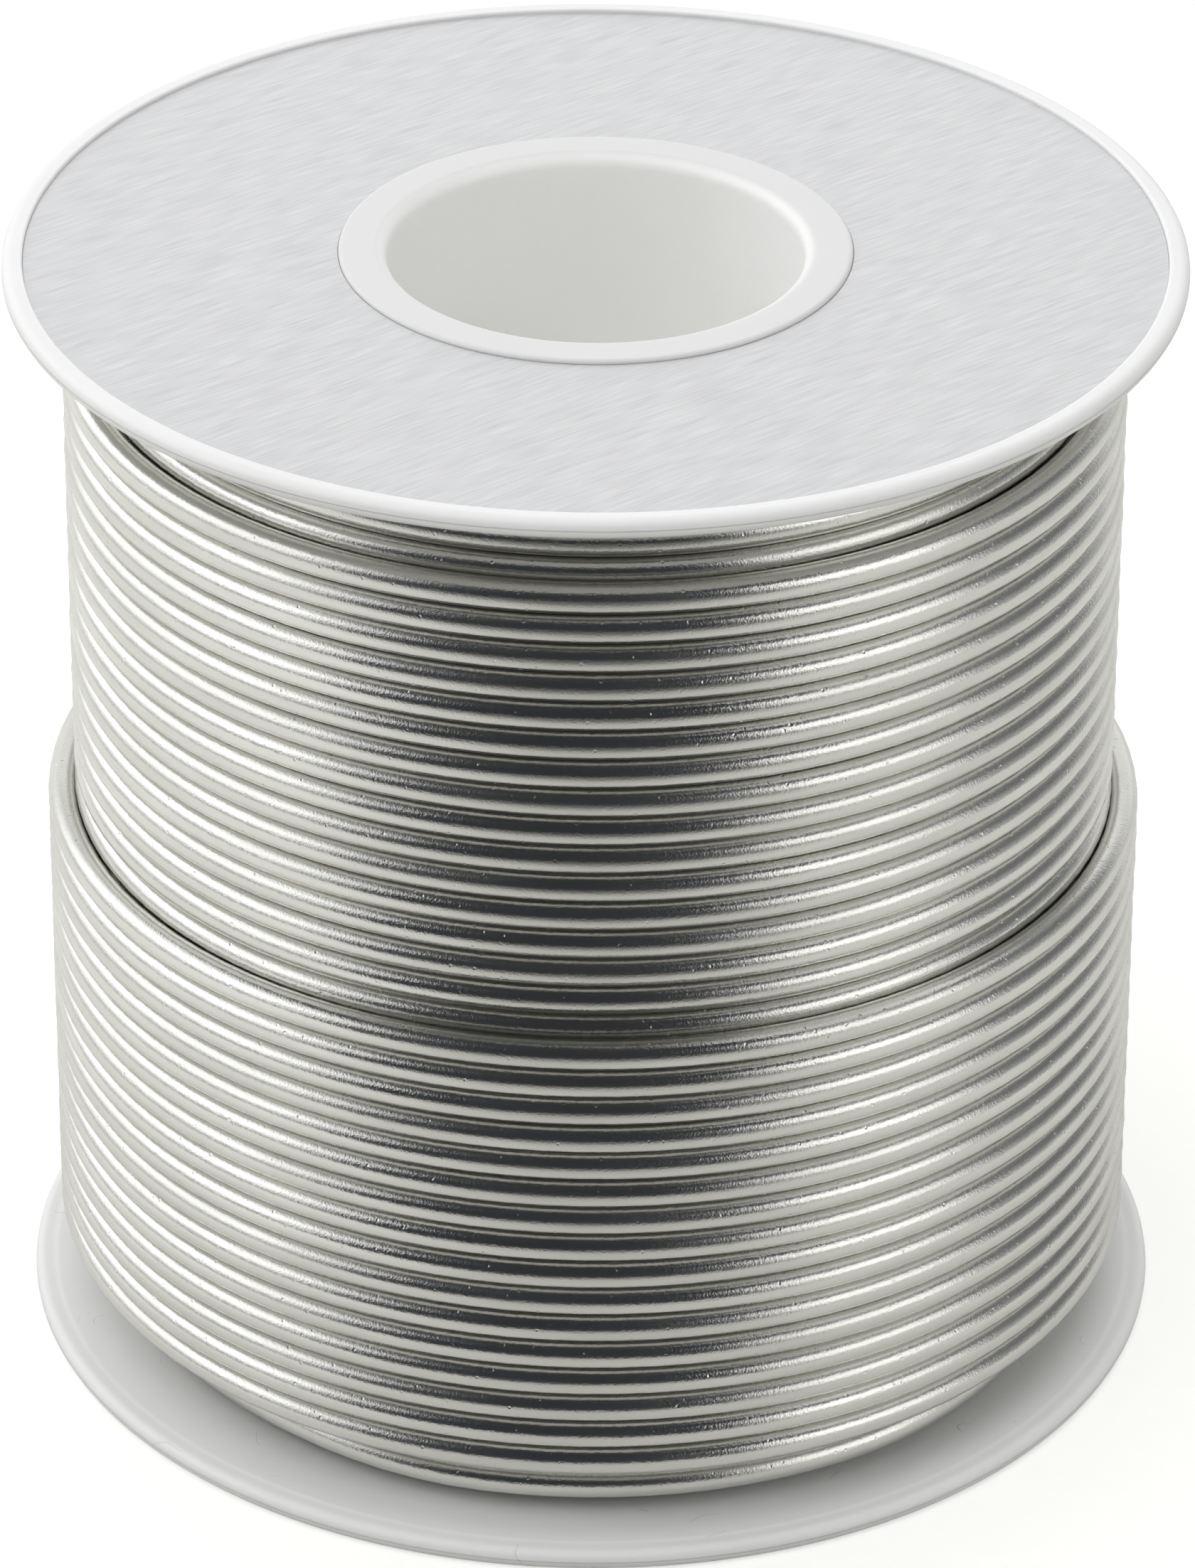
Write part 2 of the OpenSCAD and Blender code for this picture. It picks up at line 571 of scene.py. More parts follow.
@dataclass(frozen=True)
class MouldedPlastic:
    """Smooth white moulded plastic that lets a little light in.

    Distances from the bore's axis are in millimetres, other lengths in metres and angles in degrees.
    """

    colour: tuple[float, float, float] = (0.87, 0.87, 0.865)
    worn: tuple[float, float, float] = (0.84, 0.84, 0.832)
    # Painted light: a lighter copy of the plastic for the bore's wall, so the bore looks lit.
    bore: tuple[float, float, float] = (0.97, 0.97, 0.955)
    # Painted shade: a darker copy of the plastic for the hub ring round the bore.
    ring: tuple[float, float, float] = (0.75, 0.75, 0.745)
    dirt: tuple[float, float, float] = (0.30, 0.28, 0.26)
    # Painted highlight: a light line along the rim's step.
    painted_step_highlight: tuple[float, float, float] = (0.97, 0.97, 0.97)
    roughness: float = 0.34
    bore_r: float = 9.95
    ring_r: float = 12.3
    step_r: float = 27.1
    marked_z: float = 0.0015
    marked_fade: float = 0.001
    hub_fade: float = 0.3
    bore_fade: float = 0.45
    line_from: float = 0.03
    line_to: float = 0.22
    step_highlight_share: float = 0.55
    dust_share: float = 0.8
    hair_share: float = 0.4
    hair_angle: float = 15.0
    scratch_angle: float = 24.0
    cloud_scale: float = 90.0
    grain_scale: float = 5200.0
    speck_scale: float = 330.0
    rare_scale: float = 410.0
    hair_scale: float = 330.0
    hair_patches: tuple[float, float, float] = (420.0, 420.0, 90.0)
    gloss_scale: float = 700.0
    scratch_scale: tuple[float, float, float] = (250.0, 9000.0, 2000.0)
    cloud_depth: float = 0.00006
    grain_depth: float = 0.0000022
    scratch_depth: float = 0.0000018
    scatter: float = 0.25
    scatter_depth: float = 0.0007
    scatter_colour: tuple[float, float, float] = (1.0, 0.92, 0.85)
    ior: float = 1.49

    def material(self) -> bpy.types.Material:
        """Builds the material, with its tone, scratches and specks, painted light in the bore, painted shade on
        the hub ring and a faint painted highlight along the rim's step.

        Returns:
            The material.
        """
        make = Shader("white_moulded_plastic")
        place = make.place
        cloud = make.noise(place, self.cloud_scale, 3.0)
        grain = make.noise(place, self.grain_scale)
        dust = make.remap(make.cells(place, self.speck_scale), 0.018, 0.034, 1.0, 0.0)
        rare = make.remap(make.noise(place, self.rare_scale, 0.0), 0.56, 0.60, 0.0, self.dust_share)
        strands = make.noise(place, self.hair_scale, 1.0)
        thread = make.maths("ABSOLUTE", make.maths("SUBTRACT", strands, 0.5))
        hair = make.remap(thread, 0.0015, 0.004, 1.0, 0.0)
        patches = make.noise(make.stretched(place, self.hair_patches, self.hair_angle), 1.0, 0.0)
        short = make.remap(patches, 0.66, 0.69, 0.0, self.hair_share)
        marks = make.maths("MAXIMUM", make.maths("MULTIPLY", dust, rare), make.maths("MULTIPLY", hair, short))
        split = make.node("ShaderNodeSeparateXYZ", {0: place})
        marked_end = self.marked_z + self.marked_fade
        low_down = make.remap(split.outputs["Z"], self.marked_z, marked_end, 1.0, 0.0)
        marks = make.maths("MULTIPLY", marks, low_down)
        tone = make.remap(cloud, 0.35, 0.7, 0.0, 1.0)
        plain = make.blend(tone, self.colour, self.worn)
        flat = make.vector("MULTIPLY", {0: place, 1: (1.0 / MM, 1.0 / MM, 0.0)})
        across = make.vector("LENGTH", {0: flat.outputs[0]}).outputs["Value"]
        # Painted shade: inside ring_r the hub ring takes the darker ring colour.
        hub_shade_mask = make.remap(across, self.ring_r, self.ring_r + self.hub_fade, 1.0, 0.0)
        hub = make.blend(hub_shade_mask, plain, self.ring)
        # Painted light: inside bore_r the wall takes the lighter bore colour.
        bore_light_mask = make.remap(across, self.bore_r, self.bore_r + self.bore_fade, 1.0, 0.0)
        inside = make.blend(bore_light_mask, hub, self.bore)
        # Painted highlight: a faint light line along the rim's step at step_r.
        off = make.maths("ABSOLUTE", make.maths("SUBTRACT", across, self.step_r))
        edge = make.remap(off, self.line_from, self.line_to, self.step_highlight_share, 0.0)
        step_highlighted = make.blend(edge, inside, self.painted_step_highlight)
        colour = make.blend(marks, step_highlighted, self.dirt)
        patchy = make.noise(place, self.gloss_scale, 4.0)
        soft = make.remap(patchy, 0.3, 0.7, self.roughness - 0.05, self.roughness + 0.07)
        scratch = make.noise(make.stretched(place, self.scratch_scale, self.scratch_angle), 1.0, 1.0)
        lines = make.remap(scratch, 0.66, 0.74, 0.0, 1.0)
        shell = make.bump(cloud, self.cloud_depth)
        fine = make.bump(grain, self.grain_depth, shell)
        cut = make.bump(lines, self.scratch_depth, fine)
        shader = make.principled(
            Base_Color=colour,
            Roughness=soft,
            Normal=cut,
            Subsurface_Weight=self.scatter,
            Subsurface_Radius=self.scatter_colour,
            Subsurface_Scale=self.scatter_depth,
            IOR=self.ior,
        )
        return make.finish(shader)


@dataclass(frozen=True)
class BrushedFoil:
    """Bare brushed foil whose short streaks run one way across the label."""

    pale: tuple[float, float, float] = (0.925, 0.927, 0.935)
    dark: tuple[float, float, float] = (0.80, 0.802, 0.81)
    roughness: float = 0.42
    metal: float = 0.86
    streak_angle: float = 39.0
    fine_scale: tuple[float, float, float] = (420.0, 14000.0, 1.0)
    broad_scale: tuple[float, float, float] = (300.0, 6500.0, 1.0)
    relief_depth: float = 0.0000035
    fine_share: float = 0.55
    broad_share: float = 0.45
    gloss_spread: float = 0.06

    def material(self) -> bpy.types.Material:
        """Builds the material with two sizes of streak in its tone, gloss and relief.

        Returns:
            The material.
        """
        make = Shader("brushed_foil")
        fine = make.noise(make.stretched(make.place, self.fine_scale, self.streak_angle), 1.0)
        broad = make.noise(make.stretched(make.place, self.broad_scale, self.streak_angle), 1.0)
        fine_part = make.maths("MULTIPLY", fine, self.fine_share)
        both = make.maths("ADD", fine_part, make.maths("MULTIPLY", broad, self.broad_share))
        tone = make.remap(both, 0.32, 0.68, 0.0, 1.0)
        colour = make.blend(tone, self.dark, self.pale)
        dull, bright = self.roughness + self.gloss_spread, self.roughness - self.gloss_spread
        gloss = make.remap(both, 0.35, 0.65, dull, bright)
        relief = make.bump(both, self.relief_depth)
        return make.finish(
            make.principled(Base_Color=colour, Roughness=gloss, Normal=relief, Metallic=self.metal)
        )


@dataclass(frozen=True)
class SolderMetal:
    """Bright tin alloy wire with draw lines, a fine mottled skin and a few bright pits, in metres."""

    colour: tuple[float, float, float] = (0.725, 0.72, 0.683)
    dull: tuple[float, float, float] = (0.652, 0.648, 0.611)
    roughness: float = 0.205
    section_r: float = 0.00075
    mottle_scale: float = 9500.0
    lump_scale: float = 4200.0
    pit_scale: float = 1500.0
    draw_scale: tuple[float, float, float] = (9000.0, 9000.0, 260.0)
    cloud_scale: tuple[float, float, float] = (700.0, 700.0, 120.0)
    mottle_depth: float = 0.0000115
    lump_depth: float = 0.0000060
    draw_depth: float = 0.0000022
    pit_depth: float = 0.000012
    pit_from: float = 0.05
    pit_to: float = 0.13
    mottle_share: float = 0.5

    def material(self) -> bpy.types.Material:
        """Builds the material on coordinates that follow the wire.

        Returns:
            The material.
        """
        make = Shader("tin_solder")
        section = make.node("ShaderNodeAttribute", attribute_name="section", attribute_type="GEOMETRY")
        along = make.node("ShaderNodeAttribute", attribute_name="along", attribute_type="GEOMETRY")
        across = make.vector("SCALE", {0: section.outputs["Vector"], "Scale": self.section_r})
        step = make.node("ShaderNodeCombineXYZ", {"Z": along.outputs["Fac"]})
        on_wire = make.vector("ADD", {0: across.outputs[0], 1: step.outputs[0]}).outputs[0]
        mottle = make.noise(on_wire, self.mottle_scale)
        lumps = make.noise(on_wire, self.lump_scale)
        draw = make.noise(make.stretched(on_wire, self.draw_scale), 1.0)
        cloud = make.noise(make.stretched(on_wire, self.cloud_scale), 1.0)
        mixed = make.maths("ADD", cloud, make.maths("MULTIPLY", mottle, self.mottle_share))
        tone = make.remap(mixed, 0.55, 0.95, 0.0, 1.0)
        colour = make.blend(tone, self.dull, self.colour)
        gloss = make.remap(cloud, 0.3, 0.7, self.roughness + 0.05, self.roughness - 0.03)
        pit = make.remap(make.cells(on_wire, self.pit_scale), self.pit_from, self.pit_to, 0.0, 1.0)
        skin = make.bump(mottle, self.mottle_depth)
        swell = make.bump(lumps, self.lump_depth, skin)
        lines = make.bump(draw, self.draw_depth, swell)
        dots = make.bump(pit, self.pit_depth, lines)
        return make.finish(make.principled(Base_Color=colour, Roughness=gloss, Normal=dots, Metallic=1.0))


@dataclass(frozen=True)
class StudioPaper:
    """Pale matt paper for the floor, shown near white where it is lit. Distances are in metres."""

    colour: tuple[float, float, float] = (0.56, 0.557, 0.53)
    tooth: tuple[float, float, float] = (0.58, 0.577, 0.55)
    tooth_scale: float = 900.0
    lift: float = 0.55
    # Painted shade that the paper shows in mirrors far in front of the spool.
    shade: tuple[float, float, float] = (0.10, 0.10, 0.095)
    shade_share: float = 0.93
    shade_from: float = 0.02
    shade_to: float = 0.14
    shade_taper: float = 0.7
    # Painted reflection light: glow that the paper shows in mirrors, more at its left and right.
    mirrored: float = 0.21
    painted_glow_left: float = 0.17
    painted_glow_right: float = 0.04
    side_from: float = 0.012
    side_to: float = 0.06
    roughness: float = 0.9

    def material(self) -> bpy.types.Material:
        """Builds the paper with a faint tooth; in mirrors it shows painted shade far in front and a painted
        glow, stronger at its left and right.

        Returns:
            The material.
        """
        make = Shader("studio_paper")
        tooth = make.noise(make.place, self.tooth_scale)
        colour = make.blend(make.remap(tooth, 0.3, 0.7, 0.0, 1.0), self.colour, self.tooth)
        path = make.node("ShaderNodeLightPath")
        split = make.node("ShaderNodeSeparateXYZ", {0: make.place})
        x, y = split.outputs["X"], split.outputs["Y"]
        # Painted shade: in mirrors the paper darkens towards the shade colour far in front.
        aside = make.maths("MULTIPLY", make.maths("ABSOLUTE", x), self.shade_taper)
        ahead = make.maths("SUBTRACT", make.maths("MULTIPLY", y, -1.0), aside)
        dimmed = make.remap(ahead, self.shade_from, self.shade_to, 0.0, self.shade_share)
        far = make.maths("MULTIPLY", path.outputs["Is Glossy Ray"], dimmed)
        faded = make.blend(far, colour, self.shade)
        shader = make.principled(Base_Color=faded, Roughness=self.roughness)
        # Painted reflection: in mirrors the paper glows with light of its own, more at its left and right.
        left = make.remap(x, -self.side_to, -self.side_from, self.painted_glow_left, 0.0)
        right = make.remap(x, self.side_from, self.side_to, 0.0, self.painted_glow_right)
        sides = make.maths("ADD", make.maths("ADD", left, right), self.mirrored)
        near = make.maths("SUBTRACT", path.outputs["Is Glossy Ray"], far)
        mirrored = make.maths("MULTIPLY", near, sides)
        direct = make.maths("MAXIMUM", path.outputs["Is Camera Ray"], path.outputs["Is Transmission Ray"])
        seen = make.maths("MAXIMUM", make.maths("MULTIPLY", direct, self.lift), mirrored)
        lift = make.node("ShaderNodeEmission", {"Strength": seen})
        return make.finish(make.sum(shader, lift.outputs[0]))


# ---- The moulded spool ----


@dataclass
class SpoolHalf:
    """One moulded half of the spool: flange, half of the spindle tube, half of the drum and its ribs."""

    end: SpoolEnd
    finish: bpy.types.Material
    flange_d: float = 56.2
    flange_t: float = 1.0
    edge_r: float = 0.47
    total_h: float = 56.7
    bore_d: float = 19.8
    mouth_r: float = 0.6
    tube_d: float = 24.4
    drum_d: float = 40.0
    drum_wall: float = 2.2
    recess_h: float = 0.3
    rim_w: float = 1.0
    lap_h: float = 4.0
    lap_clearance: float = 0.05
    end_clearance: float = 0.4
    rib_count: int = 6
    rib_t: float = 1.4
    rib_root: float = 0.4
    rib_foot: float = 0.2
    start_hole_d: float = 2.2
    start_hole_inset: float = 0.3
    drill_depth: float = 4.0
    drill_segments: int = 48
    seam_r: float = 0.12
    top_r: float = 0.15
    floor_r: float = 0.3
    foot_r: float = 0.15
    rim_r: float = 0.12
    recess_r: float = 0.06
    ring_r: float = 0.22
    segments: int = 256

    def inner_walls(self) -> list[tuple[float, float, float]]:
        """Gives the corners of the tube and the drum in section, from the bore outwards.

        Returns:
            Radius, height and rounding of each corner, in mm.
        """
        seam = self.total_h / 2.0
        bore, tube, drum = self.bore_d / 2.0, self.tube_d / 2.0, self.drum_d / 2.0
        inside = drum - self.drum_wall
        tube_lap = (bore + tube) / 2.0
        drum_lap = drum - self.drum_wall / 2.0
        floor = self.flange_t
        edge, end = self.seam_r, self.top_r
        if self.end is SpoolEnd.LOWER:
            top = seam + self.lap_h
            lip = drum_lap - self.lap_clearance
            return [
                (bore, seam, edge), (tube_lap, seam, 0.0), (tube_lap, top, 0.0), (tube, top, end),
                (tube, floor, self.floor_r), (inside, floor, self.floor_r), (inside, top, end),
                (lip, top, end), (lip, seam, 0.0), (drum, seam, edge), (drum, floor, self.foot_r),
            ]
        low = seam - self.lap_h - self.end_clearance
        plug = tube_lap - self.lap_clearance
        return [
            (bore, seam, edge), (plug, seam, edge), (plug, low, 0.0), (tube, low, edge),
            (tube, floor, self.floor_r), (inside, floor, self.floor_r), (inside, low, edge),
            (drum_lap, low, 0.0), (drum_lap, seam, edge), (drum, seam, edge), (drum, floor, self.foot_r),
        ]

    def section(self) -> list[tuple[float, float]]:
        """Draws the whole section of the half, outer face at the foot.

        Returns:
            Points of the closed section, in mm.
        """
        rim, tube, recess = self.flange_d / 2.0, self.tube_d / 2.0, self.flange_d / 2.0 - self.rim_w
        flange = [
            (rim, self.flange_t, self.edge_r), (rim, 0.0, self.edge_r),
            (recess, 0.0, self.rim_r), (recess, self.recess_h, self.recess_r),
            (tube, self.recess_h, self.recess_r), (tube, 0.0, self.ring_r),
            (self.bore_d / 2.0, 0.0, self.mouth_r),
        ]
        points = MeshMaker.rounded(self.inner_walls() + flange)
        if self.end is SpoolEnd.UPPER:
            points = [(radius, self.total_h - height) for radius, height in points]
        return points

    def ribs(self) -> bpy.types.Mesh:
        """Sets the ribs round the tube with Geometry Nodes.

        Returns:
            The ribs as a plain mesh, in metres.
        """
        tube, inside = self.tube_d / 2.0, self.drum_d / 2.0 - self.drum_wall
        seam = self.total_h / 2.0
        end = seam - self.end_clearance
        if self.end is SpoolEnd.UPPER:
            end -= self.lap_h
        low = self.flange_t - self.rib_foot
        middle = (low + end) / 2.0
        if self.end is SpoolEnd.UPPER:
            middle = self.total_h - middle
        build = NodeBuilder(f"{self.end.value}_hub_ribs")
        build.size("Rib count", "Int", self.rib_count)
        build.size("Middle radius", "Float", (tube + inside) / 2.0 * MM)
        build.size("Middle height", "Float", middle * MM)
        build.size("Rib length", "Float", (inside - tube + 2.0 * self.rib_root) * MM)
        build.size("Rib thickness", "Float", self.rib_t * MM)
        build.size("Rib height", "Float", (end - low) * MM)
        build.size("Material", "Material", self.finish)
        ring = build.node(
            "GeometryNodeMeshCircle",
            {"Vertices": build.given("Rib count"), "Radius": build.given("Middle radius")},
        )
        size = build.node(
            "ShaderNodeCombineXYZ",
            {
                "X": build.given("Rib length"),
                "Y": build.given("Rib thickness"),
                "Z": build.given("Rib height"),
            },
        )
        plate = build.node("GeometryNodeMeshCube", {"Size": size.outputs[0]})
        outward = build.node("GeometryNodeInputPosition")
        turned = build.node("FunctionNodeAlignRotationToVector", {"Vector": outward.outputs[0]}, axis="X")
        spread = build.node(
            "GeometryNodeInstanceOnPoints",
            {"Points": ring.outputs[0], "Instance": plate.outputs[0], "Rotation": turned.outputs[0]},
        )
        lift = build.node("ShaderNodeCombineXYZ", {"Z": build.given("Middle height")})
        raised = build.node(
            "GeometryNodeTransform", {"Geometry": spread.outputs[0], "Translation": lift.outputs[0]}
        )
        build.close(raised.outputs[0])
        return build.bake(bpy.data.meshes.new("empty"))

    def cut_start_hole(self, mesh: bpy.types.Mesh) -> bpy.types.Mesh:
        """Cuts the hole that holds the start of the wire.

        Args:
            mesh: The lower half.

        Returns:
            The half with the hole.
        """
        centre = (self.drum_d + self.start_hole_d) / 2.0 + self.start_hole_inset
        work = bmesh.new()
        bmesh.ops.create_cone(
            work, cap_ends=True, segments=self.drill_segments, radius1=self.start_hole_d / 2.0 * MM,
            radius2=self.start_hole_d / 2.0 * MM, depth=self.drill_depth * MM,
            matrix=Matrix.Translation((0.0, centre * MM, self.flange_t / 2.0 * MM)),
        )
        drill_mesh = bpy.data.meshes.new("drill")
        work.to_mesh(drill_mesh)
        work.free()
        drill = MeshMaker.link("drill", drill_mesh)
        half = MeshMaker.link("half", mesh)
        cut = half.modifiers.new("hole", "BOOLEAN")
        cut.object = drill
        cut.operation = "DIFFERENCE"
        cut.solver = "EXACT"
        result = MeshMaker.evaluated(half)
        for made in (drill, half):
            bpy.data.objects.remove(made)
        return result

    def build(self) -> bpy.types.Object:
        """Makes the half and dresses it.

        Returns:
            The piece, which stands for its node.
        """
        shell = MeshMaker.lathe(self.section(), self.segments)
        if self.end is SpoolEnd.LOWER:
            shell = self.cut_start_hole(shell)
        whole = MeshMaker.joined([shell, self.ribs()])
        piece = MeshMaker.place(f"{self.end.value}_half_moulding", whole, self.finish)
        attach(piece, BODY)
        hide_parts(f"spool_{self.end.value}_half")
        return piece


# ---- The label ----


@dataclass
class FaceLabel:
    """The round foil label in the recess of the upper flange, left bare."""

    finish: bpy.types.Material
    outer_r: float = 27.09
    inner_r: float = 12.21
    low_z: float = 56.4
    thickness: float = 0.1
    edge_r: float = 0.03
    segments: int = 256

    def build(self) -> bpy.types.Object:
        """Makes the label and dresses it.

        Returns:
            The piece, which stands for its node.
        """
        high = self.low_z + self.thickness
        section = MeshMaker.rounded(
            [
                (self.inner_r, self.low_z, 0.0), (self.outer_r, self.low_z, 0.0),
                (self.outer_r, high, self.edge_r), (self.inner_r, high, self.edge_r),
            ],
            steps=3,
        )
        piece = MeshMaker.place("brushed_foil_label", MeshMaker.lathe(section, self.segments), self.finish)
        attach(piece, BODY)
        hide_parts("face_label")
        return piece


# ---- The wire ----


@dataclass
class WireLay:
    """The path of the wire through its layers.

    Angles are in degrees from the front, and the wire runs from the front towards +X. It drops a little
    round the front of each turn and steps to the next row at the back. The rising layers lie in the grooves
    of the layer below.
    """

    wire_d: float = 1.5
    pitch: float = 1.506
    drop: float = 0.6
    third_r: float = 23.35
    fourth_r: float = 24.65
    fifth_r: float = 25.95
    fourth_top: float = 51.0
    third_above: float = 2.5
    fourth_turns: int = 33
    fifth_below: float = 30.5
    fifth_turns: int = 17
    third_turns_in_view: int = 4
    cross_start: float = 130.0
    cross_end: float = 230.0
    bump: float = 0.2
    free_end: float = 175.0
    highest: float = 54.93
    lowest: float = 1.77
    tuck: float = 0.55
    tuck_lift: float = 0.3
    tuck_left: float = 12.0
    tuck_right: float = 30.0
    tuck_ease: float = 40.0
    tuck_end: float = 130.0
    steps: int = 96
    hidden_steps: int = 64
    hidden_lead: float = 0.36
    hidden_sunk: float = 0.16
    sunk_from: float = 40.0
    sunk_over: float = 60.0
    sunk_to: float = 150.0

    @property
    def third_top(self) -> float:
        """Works out where the third layer starts.

        Returns:
            Height of its first turn at the front, in mm.
        """
        return self.fourth_top + self.third_above * self.pitch

    @property
    def fifth_low(self) -> float:
        """Works out where the fifth layer starts.

        Returns:
            Height of its first turn at the front, in mm.
        """
        return self.fourth_top - self.fifth_below * self.pitch

    @staticmethod
    def ease(value: float) -> float:
        """Eases a value from 0 to 1, level at both ends.

        Args:
            value: The value.

        Returns:
            The eased value, 0 to 1.
        """
        clipped = min(max(value, 0.0), 1.0)
        return clipped * clipped * (3.0 - 2.0 * clipped)

    def slope(self, angle: float) -> float:
        """Gives the drop of the wire within its turn.

        Args:
            angle: Angle from the front of the turn.

        Returns:
            Height against that at the front, in mm.
        """
        return -self.drop * angle / 360.0

    def crossing(self, angle: float) -> float:
        """Gives how far through the crossing zone an angle lies.

        Args:
            angle: Angle from the front, 0 to 360.

        Returns:
            The eased share, 0 to 1.
        """
        return self.ease((angle - self.cross_start) / (self.cross_end - self.cross_start))

    def hump(self, angle: float) -> float:
        """Gives how far the wire stands out where it crosses the layer below.

        Args:
            angle: Angle from the front, 0 to 360.

        Returns:
            The distance, in mm.
        """
        share = (angle - self.cross_start) / (self.cross_end - self.cross_start)
        if share <= 0.0 or share >= 1.0:
            return 0.0
        return self.bump * math.sin(math.pi * share) ** 2

    def layer(self, base: float, turns: float, way: float) -> float:
        """Gives the height of the wire in a layer.

        Args:
            base: Height at the front of its first turn.
            turns: Turns since then.
            way: 1.0 for a rising layer, -1.0 for a falling one.

        Returns:
            The height, in mm.
        """
        whole = math.floor(turns)
        angle = (turns - whole) * 360.0
        step = (way * self.pitch + self.drop) * self.crossing(angle)
        return base + way * self.pitch * whole + self.slope(angle) + step

    def tucked(self, angle: float) -> float:
        """Gives how far the last turn beside the flange is tucked in.

        Args:
            angle: Angle from the front of that turn.

        Returns:
            The share, 0 to 1.
        """
        if angle < 0.0:
            return self.ease((-self.tuck_left - angle) / self.tuck_ease)
        return self.ease((angle - self.tuck_right) / self.tuck_ease)

    def point(self, angle: float, radius: float, height: float) -> tuple[float, float, float]:
        """Gives a point round the bore.

        Args:
            angle: Angle from the front.
            radius: Distance from the bore's axis, in mm.
            height: Height, in mm.

        Returns:
            The point, in mm.
        """
        turn = math.radians(angle)
        return (radius * math.sin(turn), -radius * math.cos(turn), height)

    def shown(self) -> list[tuple[float, float, float]]:
        """Lays out the turns in view, from under the upper flange to the free end.

        Returns:
            Points of the wire's centre, in mm.
        """
        points: list[tuple[float, float, float]] = []
        step = 360.0 / self.steps
        first = -self.third_turns_in_view * 360.0 + 180.0
        fourth_from = self.cross_start
        fourth_to = fourth_from + self.fourth_turns * 360.0
        last = fourth_to + 360.0 * (self.fifth_turns - 1) + (self.free_end - self.cross_start)
        count = int(round((last - first) / step))
        for index in range(count + 1):
            angle = first + (last - first) * index / count
            local = angle % 360.0
            out = self.hump(local)
            if angle < fourth_from:
                height = self.layer(self.third_top, angle / 360.0, 1.0)
                radius = self.third_r + out
            elif angle < fourth_to:
                height = self.layer(self.fourth_top, angle / 360.0 - 1.0, -1.0)
                change = self.crossing(min(angle, self.cross_end))
                if angle < self.cross_end:
                    before = self.third_top + self.slope(angle)
                    height = before + (height - before) * change
                radius = self.third_r + (self.fourth_r - self.third_r) * change + out
                from_last = angle - self.fourth_turns * 360.0
                if abs(from_last) < self.tuck_end:
                    share = self.tucked(from_last)
                    share *= self.ease((self.tuck_end - abs(from_last)) / self.tuck_ease)
                    radius -= self.tuck * share
                    height += self.tuck_lift * share
            else:
                past = angle - fourth_to
                turns = past / 360.0
                height = self.layer(self.fifth_low, turns + self.cross_start / 360.0 - 1.0, 1.0)
                change = self.ease(past / (self.cross_end - self.cross_start))
                if past < self.cross_end - self.cross_start:
                    before = self.layer(self.fourth_top, angle / 360.0 - 1.0, -1.0)
                    target = self.fifth_low + self.slope(past + self.cross_start - 360.0)
                    height = before + (target - before) * change
                radius = self.fourth_r + (self.fifth_r - self.fourth_r) * change + out
            points.append(self.point(angle, radius, min(height, self.highest)))
        return points

    def hidden(self) -> list[tuple[float, float, float]]:
        """Lays out the third layer below the turns in view.

        Returns:
            Points of the wire's centre, in mm.
        """
        steps = self.hidden_steps
        turns = int(round((self.third_top - self.lowest) / self.pitch)) - self.third_turns_in_view + 1
        base = self.third_top - self.pitch * (turns + self.third_turns_in_view - 1)
        points: list[tuple[float, float, float]] = []
        for index in range(turns * steps + 1):
            turn = index / steps - self.hidden_lead
            angle = turn * 360.0
            height = max(self.layer(base, turn, 1.0), self.lowest)
            sunk = 0.0
            if angle < self.sunk_to:
                sunk = self.hidden_sunk * self.ease((angle - self.sunk_from) / self.sunk_over)
            points.append(self.point(angle, self.third_r - sunk + self.hump(angle % 360.0), height))
        return points


